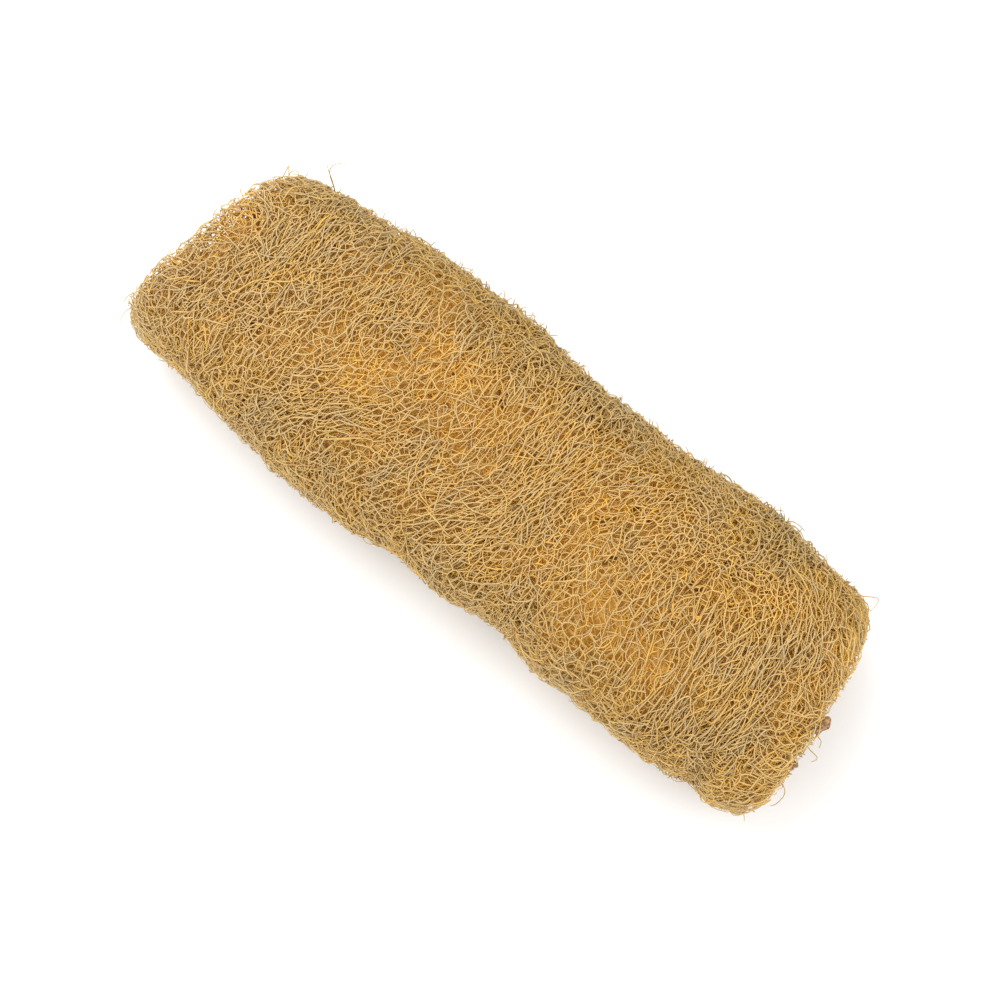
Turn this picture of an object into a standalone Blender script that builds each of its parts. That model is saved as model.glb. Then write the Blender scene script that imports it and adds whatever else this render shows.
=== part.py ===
"""Natural loofah sponge: a cut length of dried gourd skeleton, lying on its broad side.

One grown piece: a lumpy, flattened mat of fibre round a central core, with three seed
channels that run from end to end. Its whole skin, the cut ends too, is a raised net of
fibre, larger than life, whose cells lie mostly across the sponge, with a pit in each cell.
Metres, +X along the sponge, +Z up, with the origin under the middle of its box.
"""

import math
import random

import bmesh
import bpy
import numpy as np
from mathutils import Matrix, Vector, geometry, noise

NAME = "loofah_sponge"
SEED = 23

# Driving dimensions of the mat, measured to the net's crests
LENGTH = 0.1800
HALF_WIDTH = 0.0302
HALF_HEIGHT = 0.0220
SECTION_POWER = 2.4  # 2 is an ellipse, and a larger power is squarer

# Half width along the sponge and height of its upper half, as shares, at shares of LENGTH
# from the middle
WIDTH_SHARES = ((-0.50, 0.91), (-0.36, 0.95), (-0.16, 1.0), (0.10, 0.92), (0.29, 1.0), (0.50, 0.92))
HEIGHT_SHARES = ((-0.50, 0.90), (-0.25, 1.0), (0.05, 0.96), (0.30, 1.02), (0.50, 0.90))

# The cut ends slant, so that the -Y side is the longer one
LEFT_SLANT = 0.0085
RIGHT_SLANT = 0.0070
END_ROUND = 0.0070  # length over which the section closes in towards each cut
END_SHARE = 0.86  # what is left of the section at the cut
END_RADIUS = 0.0225  # mean radius of a cut face
END_HUB = 0.22  # share of that radius left for the middle of the face, which has one cell

# Lumps in the mat
LUMP_HEIGHT = 0.0018
LUMP_SIZE = 0.017

# The net: cells spread over the skin laid flat, as (along, around)
CELL_GAP = 0.0041  # least distance between the middles of two cells, along the sponge
CELL_STRETCH = 1.55  # cells are this much longer around the sponge than along it
CELL_TRIES = 9000
WARP_ALONG = 0.0064  # how far the net is pushed about, so that its grain turns
WARP_AROUND = 0.0096
WARP_SIZE = 0.028
WARP_OFFSET = (7.7, 3.1, 5.3)  # between the two noises, in units of WARP_SIZE
WARP_FADE = 0.020  # distance from a cut within which that dies away
SHORT_BAR = 0.0013  # bars of the net shorter than this close up
CREST_RISE = 0.0005
BAR_HALF_WIDTH = 0.00105
PIT_DEPTH = 0.0022
FLOOR_MERGE = 0.0015  # corners of a pit's floor nearer than this are one

# Seed channels: (y, z, half width, half height, turn in degrees) round the core
CHANNELS = (
    (0.0008, 0.0086, 0.0078, 0.0048, 4.0),
    (-0.0126, -0.0034, 0.0062, 0.0064, 20.0),
    (0.0132, -0.0032, 0.0060, 0.0066, -24.0),
)
CHANNEL_SIDES = 12
CHANNEL_RINGS = 16
CHANNEL_OVERRUN = 0.012
CHANNEL_RIB = 0.08  # each second ring is smaller by this share, as hoops of fibre are

# The sponge rests on bars pressed flat at one level, and on a small matted spot without pits
REST_LEVEL = -0.0209
REST_BAR = 0.0006  # half width of those bars' flat faces
SPOT = (-0.030, 0.0)
SPOT_RADIUS = 0.0075

# Dried fibre, a straw brown
FIBRE_COLOUR = (0.503, 0.301, 0.105, 1.0)
FIBRE_ROUGHNESS = 0.85

AROUND_STEPS = 360


def remove_everything():
    for old in list(bpy.data.objects):
        bpy.data.objects.remove(old, do_unlink=True)


def new_collection(name):
    made = bpy.data.collections.new(name)
    bpy.context.scene.collection.children.link(made)
    return made


def share_at(knots, place):
    """A smooth curve through a few (place, share) knots."""
    if place <= knots[0][0]:
        return knots[0][1]
    for (x0, y0), (x1, y1) in zip(knots, knots[1:]):
        if place <= x1:
            t = (place - x0) / (x1 - x0)
            t = t * t * (3 - 2 * t)
            return y0 + (y1 - y0) * t
    return knots[-1][1]


def squared(value):
    """A cosine or sine bent so that the section runs squarer than an ellipse."""
    return math.copysign(abs(value) ** (2 / SECTION_POWER), value)


def section(angle):
    return HALF_WIDTH * squared(math.cos(angle)), HALF_HEIGHT * squared(math.sin(angle))


def around_table():
    """Distance round the section, from its underside, at even steps of angle."""
    angles = [-math.pi / 2 + 2 * math.pi * i / AROUND_STEPS for i in range(AROUND_STEPS + 1)]
    places = [section(angle) for angle in angles]
    runs = [0.0]
    for first, second in zip(places, places[1:]):
        runs.append(runs[-1] + math.dist(first, second))
    return np.array(runs), np.array(angles)


RUNS, ANGLES = around_table()
GIRTH = float(RUNS[-1])
CAP_RUN = END_RADIUS * (1 - END_HUB)


def close_in(run):
    """(distance inside the cut, share of the section) at a run from the rim of a cut."""
    if run < 0:
        return 0.0, END_SHARE * (1 + run / END_RADIUS)
    if run >= END_ROUND:
        return run, 1.0
    turn = 0.5 * math.pi * run / END_ROUND
    return END_ROUND * (1 - math.cos(turn)), END_SHARE + (1 - END_SHARE) * math.sin(turn)


def skin_place(run_along, run_around):
    """The flat net's point wrapped onto the sponge: along its side, or in over a cut face."""
    from_left = run_along < LENGTH / 2
    inside, close = close_in(run_along if from_left else LENGTH - run_along)
    s = inside / LENGTH if from_left else 1 - inside / LENGTH
    angle = float(np.interp(run_around % GIRTH, RUNS, ANGLES))
    across, up = section(angle)
    y = across * share_at(WIDTH_SHARES, s - 0.5) * close
    z = up * close * (share_at(HEIGHT_SHARES, s - 0.5) if up > 0 else 1.0)
    side = y / HALF_WIDTH
    left = -LENGTH / 2 + LEFT_SLANT * (side + 1) / 2
    right = LENGTH / 2 - RIGHT_SLANT * (side + 1) / 2
    return Vector((left + (right - left) * s, y, z))


def skin_point(run_along, run_around):
    """skin_place with the mat's lumps."""
    near = 0.0005
    place = skin_place(run_along, run_around)
    down = skin_place(run_along + near, run_around) - skin_place(run_along - near, run_around)
    around = skin_place(run_along, run_around + near) - skin_place(run_along, run_around - near)
    outward = down.cross(around).normalized()
    return place + outward * LUMP_HEIGHT * noise.noise(place / LUMP_SIZE)


def spread_cells(rng):
    """Middles of the net's cells, none too near another, over the flat skin."""
    found = []
    for _ in range(CELL_TRIES):
        place = (rng.uniform(-CAP_RUN, LENGTH + CAP_RUN), rng.uniform(0, GIRTH))
        # Cells on a cut face are as wide as its shrinking girth lets them be
        close = min(1.0, close_in(min(place[0], LENGTH - place[0]))[1])
        free = True
        for other in found:
            around = abs(place[1] - other[1])
            around = min(around, GIRTH - around) * close / CELL_STRETCH
            if math.hypot(place[0] - other[0], around) < CELL_GAP:
                free = False
                break
        if free:
            found.append(place)
    return found


def circumcentre(a, b, c):
    d = 2 * (a[0] * (b[1] - c[1]) + b[0] * (c[1] - a[1]) + c[0] * (a[1] - b[1]))
    aa, bb, cc = a[0] ** 2 + a[1] ** 2, b[0] ** 2 + b[1] ** 2, c[0] ** 2 + c[1] ** 2
    x = (aa * (b[1] - c[1]) + bb * (c[1] - a[1]) + cc * (a[1] - b[1])) / d
    y = (aa * (c[0] - b[0]) + bb * (a[0] - c[0]) + cc * (b[0] - a[0])) / d
    return x, y


def net_cells(middles):
    """(corners, cells): each cell holds the places nearer to its middle than to any other.

    The skin joins up round the sponge, so cells are repeated a girth away on both sides,
    and they are mirrored in the two hubs, whose edges the net then follows. A corner is
    known by the cells that meet there, so a repeat of it is the same corner.
    """
    copies = [(x, y + turn) for turn in (0, GIRTH, -GIRTH) for x, y in middles]
    copies += [(2 * hub - x, y) for hub in (-CAP_RUN, LENGTH + CAP_RUN) for x, y in copies]
    scaled = [Vector((x * 1000, y * 1000 / CELL_STRETCH)) for x, y in copies]
    points, _, faces, sources, _, _ = geometry.delaunay_2d_cdt(scaled, [], [], 0, 1e-6)
    count = len(middles)
    corners, numbers = [], {}
    around = [[] for _ in middles]
    for face in faces:
        owners = [sources[i][0] for i in face]
        if min(owners) >= count:
            continue
        x, y = circumcentre(*(points[i] for i in face))
        meeting = frozenset(owner % count for owner in owners)
        if meeting not in numbers:
            numbers[meeting] = len(corners)
            corners.append((x / 1000, y * CELL_STRETCH / 1000))
        for owner in owners:
            if owner < count:
                turn = math.atan2(y - scaled[owner].y, x - scaled[owner].x)
                around[owner].append((turn, numbers[meeting]))
    return corners, [[number for _, number in sorted(cell)] for cell in around]


def close_short_bars(places, cells):
    """Cells with each short bar closed up to a point, the shortest first."""
    bars = {frozenset(bar) for cell in cells for bar in zip(cell, cell[1:] + cell[:1])}
    lengths = [(math.dist(*(places[i] for i in bar)), *sorted(bar)) for bar in bars if len(bar) == 2]
    moved, kept = {}, set()
    for length, first, second in sorted(lengths):
        if length < SHORT_BAR and not {first, second} & (moved.keys() | kept):
            moved[second] = first
            kept.add(first)
    found = []
    for cell in cells:
        cell = [moved.get(i, i) for i in cell]
        cell = [i for i, after in zip(cell, cell[1:] + cell[:1]) if i != after]
        if len(cell) > 2:
            found.append(cell)
    return found


def warped(x, y):
    """A place on the flat skin pushed about, in a way that joins up round the sponge."""
    radius = GIRTH / (2 * math.pi)
    turn = y / radius
    spot = Vector((x, radius * math.cos(turn), radius * math.sin(turn))) / WARP_SIZE
    fade = min(1.0, max(0.0, min(x, LENGTH - x) / WARP_FADE))
    push, swirl = noise.noise(spot), noise.noise(spot + Vector(WARP_OFFSET))
    return x + WARP_ALONG * fade * push, y + WARP_AROUND * fade * swirl


def on_rest_spot(place):
    return place.z < 0 and math.dist(place.xy, SPOT) < SPOT_RADIUS


def rests(face):
    return all(math.isclose(corner.co.z, REST_LEVEL, abs_tol=1e-6) for corner in face.verts)


def make_net(collection, rng):
    """The closed skin: the net's bars stand as crests round a pit sunk in each cell."""
    flat, cells = net_cells(spread_cells(rng))
    places = [skin_point(*warped(x, y)) for x, y in flat]
    cells = close_short_bars(places, cells)
    shape = bmesh.new()
    corners = [shape.verts.new(place) for place in places]
    for cell in cells:
        shape.faces.new([corners[i] for i in cell])
    for corner in corners:
        if not corner.link_faces:
            shape.verts.remove(corner)
    bmesh.ops.holes_fill(shape, edges=[e for e in shape.edges if e.is_boundary], sides=0)
    bmesh.ops.recalc_face_normals(shape, faces=shape.faces)
    for corner in shape.verts:
        corner.co += corner.normal * rng.uniform(-CREST_RISE, CREST_RISE)
        corner.co.z = max(corner.co.z, REST_LEVEL)
    for face in [f for f in shape.faces if not on_rest_spot(f.calc_center_median())]:
        if rests(face):
            bmesh.ops.inset_individual(shape, faces=[face], thickness=REST_BAR)
        room = 2 * face.calc_area() / face.calc_perimeter()
        width = min(BAR_HALF_WIDTH, 0.45 * room)
        depth = PIT_DEPTH * width / BAR_HALF_WIDTH
        bmesh.ops.inset_individual(shape, faces=[face], thickness=width, depth=-depth)
        bmesh.ops.remove_doubles(shape, verts=face.verts, dist=FLOOR_MERGE)
    bmesh.ops.triangulate(shape, faces=shape.faces)
    mesh = bpy.data.meshes.new(NAME)
    shape.to_mesh(mesh)
    shape.free()
    sponge = bpy.data.objects.new(NAME, mesh)
    collection.objects.link(sponge)
    return sponge


def as_cutter(obj, collection):
    collection.objects.link(obj)
    obj.hide_render = True
    obj.display_type = "WIRE"
    return obj


def make_channel(index, channel, collection):
    """One seed channel: an oval bar with hoops, longer than the sponge."""
    mesh = bpy.data.meshes.new(f"channel_{index}")
    shape = bmesh.new()
    bmesh.ops.create_cone(
        shape, cap_ends=True, segments=CHANNEL_SIDES, radius1=1, radius2=1, depth=1
    )
    lengthways = [e for e in shape.edges if abs(e.verts[0].co.z - e.verts[1].co.z) > 0.5]
    bmesh.ops.subdivide_edges(shape, edges=lengthways, cuts=CHANNEL_RINGS - 1, use_grid_fill=True)
    y, z, half_width, half_height, turn = channel
    tilt = math.radians(turn)
    for corner in shape.verts:
        ring = round((corner.co.z + 0.5) * CHANNEL_RINGS)
        size = 1 - CHANNEL_RIB * (ring % 2)
        across = corner.co.x * half_width * size
        up = corner.co.y * half_height * size
        corner.co = Vector(
            (
                corner.co.z * (LENGTH + 2 * CHANNEL_OVERRUN),
                y + across * math.cos(tilt) - up * math.sin(tilt),
                z + across * math.sin(tilt) + up * math.cos(tilt),
            )
        )
    bmesh.ops.recalc_face_normals(shape, faces=shape.faces)
    shape.to_mesh(mesh)
    shape.free()
    return as_cutter(bpy.data.objects.new(f"channel_{index}", mesh), collection)


def cut(target, cutter):
    modifier = target.modifiers.new(cutter.name, "BOOLEAN")
    modifier.operation = "DIFFERENCE"
    modifier.solver = "MANIFOLD"
    modifier.object = cutter
    bpy.context.view_layer.update()
    graph = bpy.context.evaluated_depsgraph_get()
    result = bpy.data.meshes.new_from_object(target.evaluated_get(graph))
    target.modifiers.clear()
    target.data = result


def set_origin(sponge):
    """Moves the mesh so that the origin is under the middle of its box."""
    corners = np.array([corner.co for corner in sponge.data.vertices])
    low, high = corners.min(axis=0), corners.max(axis=0)
    middle = (low + high) / 2
    shift = Matrix.Translation((-middle[0], -middle[1], -low[2]))
    sponge.data.transform(shift)


def give_material(sponge):
    material = bpy.data.materials.new("loofah_fibre")
    material.use_nodes = True
    shader = material.node_tree.nodes["Principled BSDF"]
    shader.inputs["Base Color"].default_value = FIBRE_COLOUR
    shader.inputs["Roughness"].default_value = FIBRE_ROUGHNESS
    sponge.data.materials.append(material)


def main():
    remove_everything()
    sponge = make_net(new_collection(NAME), random.Random(SEED))
    cutters = new_collection("cutters")
    for index, channel in enumerate(CHANNELS):
        cut(sponge, make_channel(index, channel, cutters))
    set_origin(sponge)
    give_material(sponge)


main()
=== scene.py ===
"""Looks of the natural loofah sponge: its mat of fibres, cut ends, seed channels and strays.

Most of the mat is nets. A net's bars run through its corners two by two, as strands do, and
are relaxed into curves. Nets and loose fibres are laid on the skin rolled out flat, as
(along, around) in metres with a lift out from the skin, and are wrapped onto the sponge.
"""

import math
from typing import NamedTuple

import bmesh
import bpy
import numpy as np
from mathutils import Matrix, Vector, noise


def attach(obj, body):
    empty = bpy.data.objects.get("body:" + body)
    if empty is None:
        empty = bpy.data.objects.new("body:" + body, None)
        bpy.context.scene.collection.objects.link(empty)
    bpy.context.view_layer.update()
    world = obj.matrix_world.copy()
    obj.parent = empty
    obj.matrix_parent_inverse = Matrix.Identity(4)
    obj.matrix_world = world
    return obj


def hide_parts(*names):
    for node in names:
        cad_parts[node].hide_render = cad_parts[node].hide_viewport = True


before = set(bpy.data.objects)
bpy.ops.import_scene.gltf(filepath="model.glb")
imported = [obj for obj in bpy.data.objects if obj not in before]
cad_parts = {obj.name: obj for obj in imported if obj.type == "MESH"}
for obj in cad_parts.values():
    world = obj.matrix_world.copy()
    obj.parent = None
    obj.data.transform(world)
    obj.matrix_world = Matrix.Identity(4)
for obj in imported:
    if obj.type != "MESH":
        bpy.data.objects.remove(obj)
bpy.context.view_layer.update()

NODE = "loofah_sponge"
SEED = 41

# The sponge's form, in metres and shares, as its solid has it
LENGTH = 0.1800
HALF_WIDTH = 0.0302
HALF_HEIGHT = 0.0220
SECTION_POWER = 2.4
WIDTH_SHARES = (
    (-0.50, 0.84),
    (-0.40, 0.895),
    (-0.28, 0.985),
    (-0.14, 1.015),
    (0.10, 0.935),
    (0.25, 0.965),
    (0.32, 0.985),
    (0.50, 0.91),
)
HEIGHT_SHARES = ((-0.50, 0.90), (-0.25, 1.0), (0.05, 0.96), (0.30, 1.02), (0.50, 0.90))
LEFT_SLANT = 0.0125
LEFT_REACH = 0.0915
RIGHT_SLANT = 0.0070
RIGHT_REACH = 0.0885
RIGHT_CROWN = 0.0024
END_ROUND = 0.0070
END_SHARES = (0.91, 0.765)  # how wide the left and the right cut are, of the width behind them
LUMP_HEIGHT = 0.0018
LUMP_SIZE = 0.017
LUMP_MARGIN, LUMP_ROWS, LUMP_COLUMNS = 0.004, 110, 97  # of the grid that they are read on
# The fold by the lower right corner: (along, around, height, reach along, reach around)
FOLDS = (
    (0.1658, 0.1230, -0.0016, 0.0024, 0.0130),
    (0.1696, 0.1230, 0.0009, 0.0030, 0.0120),
)
REST_LEVEL = 0.0209  # height of the sponge's axis above the floor
# The seed channels: (y, z, half width, half height, turn in degrees) round the axis
CHANNELS = (
    (0.0008, 0.0086, 0.0078, 0.0048, 4.0),
    (-0.0126, -0.0034, 0.0062, 0.0064, 20.0),
    (0.0132, -0.0032, 0.0060, 0.0066, -24.0),
)

# What a point of a net or fibre carries: its flat place, lift, radius and tone
X, Y, LIFT, RADIUS, TONE = range(5)


class Net(NamedTuple):
    """One net of strands: how wide its meshes are, where it lies and how its strands run."""

    name: str
    spacing: float  # between the middles of its meshes
    stretch: float  # how much longer its meshes are around the sponge than along it
    lift: float
    spread: float
    radius: float
    tone: float
    straight: float  # how far strands go straight on at a corner
    relax: int
    curved: bool  # whether a bar has a point of its own halfway
    dropped: float  # share of its bars that is left out where the mat is open
    grain: float = 0.45  # how far strands run round the sponge, or with less than 0 along it


# Deeper nets have lower tones, whose gold is partly painted light bounced through the mat
SKIN_NETS = (
    Net("net_outer", 0.0026, 1.50, 0.00002, 0.00080, 0.00018, 0.80, 0.4, 6, True, 0.22),
    Net("net_upper", 0.0022, 1.50, -0.0004, 0.00075, 0.00017, 0.68, 0.3, 4, False, 0.20),
    Net("net_middle", 0.0023, 1.35, -0.0009, 0.00070, 0.00018, 0.54, 0.2, 3, False, 0.14),
    Net("net_lower", 0.0026, 1.25, -0.0014, 0.00065, 0.00021, 0.40, 0.2, 3, False, 0.08),
    Net("net_inner", 0.0029, 1.00, -0.0019, 0.00060, 0.00028, 0.26, 0.2, 2, False, 0.05),
)
NET_MARGIN = 0.012  # how far the nets of the skin run on past its ends before they are cut
# In shares of the spacing: how far corners are shaken, bars bow, and the longest bar that stays
NET_JITTER = 0.23
BAR_BOW = 0.12
LONGEST_BAR = 2.6
RELAX_PULL = 0.25  # a point goes halfway to the middle of its neighbours at a time
RADIUS_RANGE = (0.55, 1.45)  # shares of the net's own radius
WHOLE_STRAND = 9  # how much better a strand scores at a corner where both its bars are there
DROPPED_CLOSE = 0.04  # share of the bars left out where the mat is close
OPEN_SIZE = 0.010
OPEN_CONTRAST = 1.2
TONE_SPREAD = 0.13
TONE_FALL = 0.12  # the left end is paler than the right
PAINTED_SIDE_LIGHT = 0.03  # and the front side than the back, as painted light on the front and painted shade on the back
CUT_TONE = 0.12
CUT_TONE_REACH = 0.007
WARP = 0.0016
WARP_SIZE = 0.013
# The grain runs round the sponge and sways along it
SWAY = 0.0062
SWAY_SIZE = 0.028

# Loose fibres: points on each, and how its centre line bends
FIBRE_POINTS = 9
BEND = 150.0  # radians a metre
BEND_MEMORY = 0.72
GRAIN_PULL = 0.06  # how far a fibre turns to the grain at each point
STEP_SHARES = (0.6, 1.35)
LOOSE_RADIUS_SHARES = (0.8, 1.2)
LOOSE_TONE_SPREAD = 0.14
LOOSE_MARGIN = 0.002  # how far past the ends fibres start
TIP_SHARE, TIP_RISE = 0.6, 3  # of the radius at a tip, and how soon it is full
# The bundles: how many fibres, how far apart, and how far before or after one another they start
BUNDLE_SIZE = 0.018
BUNDLE_FIBRES = 5
BUNDLE_GAP = (0.0006, 0.0010)
BUNDLE_SLIDE = 0.0045
BUNDLE_TRIES = 3  # places tried for each bundle, of which the more bundled ones are taken
BUNDLE_CHANCE = 1.2
# How far off the grain they lie where the mat is open, and how much less where it is bundled
ASTRAY_OPEN, ASTRAY_LESS = 1.1, 0.9
# How far their fibres fan out and bend when they lie along the grain, and how much more astray
FAN_LEAST, FAN_MORE = 0.10, 0.35
BEND_LEAST, BEND_MORE = 0.30, 0.70
# How far the mat is bundled outside the patches, how far that goes up and down, and at most
BUNDLED_MEAN, BUNDLED_SWING, BUNDLED_MOST = 0.15, 0.30, 1.1
# Where the mat is bundled most: (along, around, reach) on the flat skin
BUNDLE_PATCHES = (
    (0.018, 0.072, 0.010),
    (0.040, 0.068, 0.011),
    (0.166, 0.089, 0.015),
    (0.152, 0.104, 0.010),
    (0.092, 0.060, 0.009),
    (0.060, 0.150, 0.014),
    (0.130, 0.020, 0.014),
    (0.110, 0.125, 0.012),
)
PATCH_STRENGTH = 1.1
WEAVE = 0.00040  # how far a loose fibre goes over and under others
WEAVE_LENGTH = 0.0065
END_DIVE, DIVE_RISE = 0.0011, 5  # how deep its tips go into the mat, and how soon it is up


class Loose(NamedTuple):
    """A lot of loose fibres that run in bundles."""

    name: str
    bundles: int
    lift: float
    spread: float
    step: float
    radius: float
    tone: float


# The inner lot has a lower tone, partly painted light bounced through the mat
LOOSE_LOTS = (
    Loose("bundles_outer", 430, 0.00020, 0.00040, 0.00105, 0.00017, 0.84),
    Loose("bundles_inner", 330, -0.0006, 0.00050, 0.00110, 0.00018, 0.66),
)

# The fuzz of thin curly fibres that mats the sides and the rims of the cuts
FUZZ_FIBRES = 3300
FUZZ_TRIES = 4  # places tried for each fibre, of which those nearer the sides and rims are taken
FUZZ_FROM, FUZZ_GROWS = 0.55, 0.3  # shares of the half width where it starts, and over which it grows
FUZZ_RIM, FUZZ_RIM_SHARE = 0.005, 0.8
FUZZ_POINTS = 6
FUZZ_STEP, FUZZ_STEP_SHARES = 0.0009, (0.6, 1.3)
FUZZ_BEND, FUZZ_BEND_SHARES = 420.0, (0.2, 1.0)
FUZZ_STRAY = 0.7
FUZZ_PULL = 0.04
FUZZ_LIFT = (-0.0008, 0.0004)
FUZZ_ARCH = 0.0009
FUZZ_RADIUS, FUZZ_RADIUS_SHARES, FUZZ_THINNED = 0.00012, (0.8, 1.25), 0.4
FUZZ_TONE = 0.66

RAGGED = 0.0012  # how far cut fibres may stand past the cut
RAGGED_WAVES = (9100, 3700, 4000)  # radians a metre: two around the sponge, and one with the lift

# The nets in each cut lie one behind another, and the deeper ones have lower tones, toward a bright gold
# that paints light bounced through the mat
CUT_DEPTHS = (0.0003, 0.0014, 0.0026, 0.0038)
CUT_NET = Net("cut", 0.0020, 1.0, 0.0, 0.0009, 0.00017, 0.74, 0.3, 5, True, 0.25, 0.0)
CUT_CURVED = 2  # how many of them have bars that curve
CUT_DEPTH_BOUNCE_LIGHT = 80  # how much their tone falls for each metre of depth, toward the gold of painted bounced light
CUT_SPAN = (-0.034, 0.034)
CUT_MARGIN = 0.0008
CUT_WARP = 0.0010

CHANNEL_NET = Net("channel", 0.0026, 0.6, -0.0001, 0.0005, 0.00018, 0.5, 0.6, 4, False, 0.1, -0.5)
CHANNEL_SPARE = 0.004  # how far a channel's net runs on past the ends before it is cut
CHANNEL_MARGIN = 0.0006

# The short fibre ends that stand out of each cut
STUBS = 900
STUB_REACH = (-0.0004, 0.0011)
STUB_RUN = (0.0025, 0.0045)
STUB_LEAN, STUB_CURL = 0.45, 0.25
STUB_MARGIN = 0.0006
STUB_RADII = (0.00013, 0.00021)
STUB_TAPER = (1.0, 1.0, 0.9, 0.6)
STUB_TONE, STUB_TONE_SPREAD = 0.74, 0.12

# Hairs that the picture shows astray, each by its root, a point halfway and its tip
HAIRS = (
    ((-0.0709, 0.0263, 0.030), (-0.0729, 0.0275, 0.033), (-0.0741, 0.0283, 0.036)),
    ((-0.0709, 0.0263, 0.030), (-0.0734, 0.0289, 0.034), (-0.0711, 0.0309, 0.035)),
    ((-0.0815, 0.0206, 0.030), (-0.0819, 0.0236, 0.031), (-0.0801, 0.0214, 0.030)),
    ((-0.0802, 0.0211, 0.030), (-0.0800, 0.0236, 0.031), (-0.0787, 0.0222, 0.030)),
    ((-0.0772, 0.0229, 0.030), (-0.0773, 0.0242, 0.031), (-0.0774, 0.0253, 0.032)),
    ((-0.0857, 0.0115, 0.028), (-0.0868, 0.0123, 0.029), (-0.0872, 0.0133, 0.030)),
    ((-0.0860, 0.0034, 0.028), (-0.0880, 0.0040, 0.029), (-0.0883, 0.0059, 0.030)),
    ((-0.0913, -0.0200, 0.026), (-0.0918, -0.0221, 0.027), (-0.0910, -0.0241, 0.027)),
    ((-0.0899, -0.0221, 0.026), (-0.0898, -0.0244, 0.027), (-0.0891, -0.0274, 0.028)),
    ((0.0755, 0.0248, 0.030), (0.0806, 0.0278, 0.032), (0.0815, 0.0247, 0.031)),
    ((0.0548, 0.0288, 0.030), (0.0570, 0.0300, 0.032), (0.0596, 0.0298, 0.032)),
    ((0.0601, 0.0270, 0.030), (0.0613, 0.0282, 0.031), (0.0630, 0.0285, 0.031)),
    ((0.0533, 0.0270, 0.033), (0.0607, 0.0268, 0.038), (0.0671, 0.0192, 0.036)),
    ((0.0880, -0.0035, 0.030), (0.0902, -0.0041, 0.030), (0.0908, -0.0056, 0.030)),
    ((0.0880, -0.0063, 0.028), (0.0912, -0.0070, 0.028), (0.0914, -0.0088, 0.028)),
    ((0.0880, -0.0160, 0.026), (0.0915, -0.0185, 0.025), (0.0905, -0.0214, 0.024)),
    ((0.0840, -0.0240, 0.022), (0.0868, -0.0256, 0.020), (0.0885, -0.0270, 0.018)),
)
HAIR_POINTS = 12
HAIR_WAVE = 0.0002
HAIR_RADIUS, HAIR_THINNED = 0.00016, 0.5
HAIR_TONES = (0.5, 0.8)


class Strays(NamedTuple):
    """A lot of single hairs that stand out of the mat."""

    name: str
    count: int
    points: int
    around: tuple  # where they root, as shares of the way round the sponge
    length: tuple
    rise: tuple
    bend: float


STRAY_LOTS = (
    Strays("strays", 40, 12, (0.12, 0.88), (0.0040, 0.0080), (0.0010, 0.0018), 110.0),
    Strays("bristles_back", 330, 6, (0.17, 0.31), (0.0010, 0.0036), (0.0004, 0.0022), 420.0),
    Strays("bristles_front", 170, 6, (0.68, 0.80), (0.0010, 0.0030), (0.0003, 0.0012), 420.0),
)
STRAY_MARGIN = 0.004  # how far from the ends they root
STRAY_ROOT = 0.0006  # how deep they root
STRAY_CURVE = 1.3
STRAY_RADII, STRAY_THINNED = (0.00010, 0.00015), 0.6
STRAY_TONES = (0.6, 0.95)
STRAY_SIDE = 0.0328  # they stay this near to the sponge's axis

# Shreds of brown rind on the right cut: (x, y, z, length, width, lean)
FLAKES = (
    (0.0880, -0.0022, 0.0362, 0.0044, 0.0026, 1.45),
    (0.0884, -0.0128, 0.0350, 0.0022, 0.0015, 1.10),
)
FLAKE_THICKNESS = 0.00022

# The colours of a fibre, each with the tone where it is full. The gold of the low tones, which deep fibres
# take, is partly the fibre's own colour and partly painted light bounced through the mat
FIBRE_STOPS = ((0.0, (1.0, 0.61, 0.072)), (0.5, (0.76, 0.475, 0.128)), (1.0, (0.60, 0.443, 0.222)))
MOTTLES = ((90, 3, 0.45), (900, 2, 0.30))  # (scale, detail, how far it shifts the tone)
# The inner mat's colours from a line of its net outward, whose gold is partly painted light bounced down
# through the fibres, and the painted shade of hollows in it, which darkens them
UNDER_STOPS = ((0.0, (0.92, 0.54, 0.095)), (0.18, (0.60, 0.31, 0.048)))
HOLLOW_SHADE_STOPS = ((0.32, (0.28, 0.20, 0.15)), (0.40, (1, 1, 1)))
RIND_STOPS = ((0.35, (0.075, 0.030, 0.013)), (0.65, (0.50, 0.27, 0.085)))

# How the fibre darkens over stretches of an axis: (axis, from, to, brightness there, and here). Along the
# sponge it darkens a little toward the right end; on the back and front sides it carries painted shade,
# where light falls off round the sponge.
SHADES = (
    ("X", -0.090, 0.090, 1.0, 0.96),
    ("Y", 0.014, 0.029, 1.0, 0.75),
    ("Y", -0.014, -0.029, 1.0, 0.94),
)

# The inner mat, a solid surface under the fibres
UNDER_DEPTH = 0.0031
UNDER_RECESS = 0.0050
UNDER_ROWS = 100
UNDER_COLUMNS = 76


def smooth_knots(knots, x):
    """A smooth curve through a few (place, share) knots, for an array of places."""
    places, shares = np.array(knots).T
    i = np.clip(np.searchsorted(places, x) - 1, 0, len(places) - 2)
    t = np.clip((x - places[i]) / (places[i + 1] - places[i]), 0, 1)
    return shares[i] + (shares[i + 1] - shares[i]) * t * t * (3 - 2 * t)


def squared(value):
    return np.sign(value) * np.abs(value) ** (2 / SECTION_POWER)


def unit(vectors):
    return vectors / (np.linalg.norm(vectors, axis=-1, keepdims=True) + 1e-12)


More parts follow.
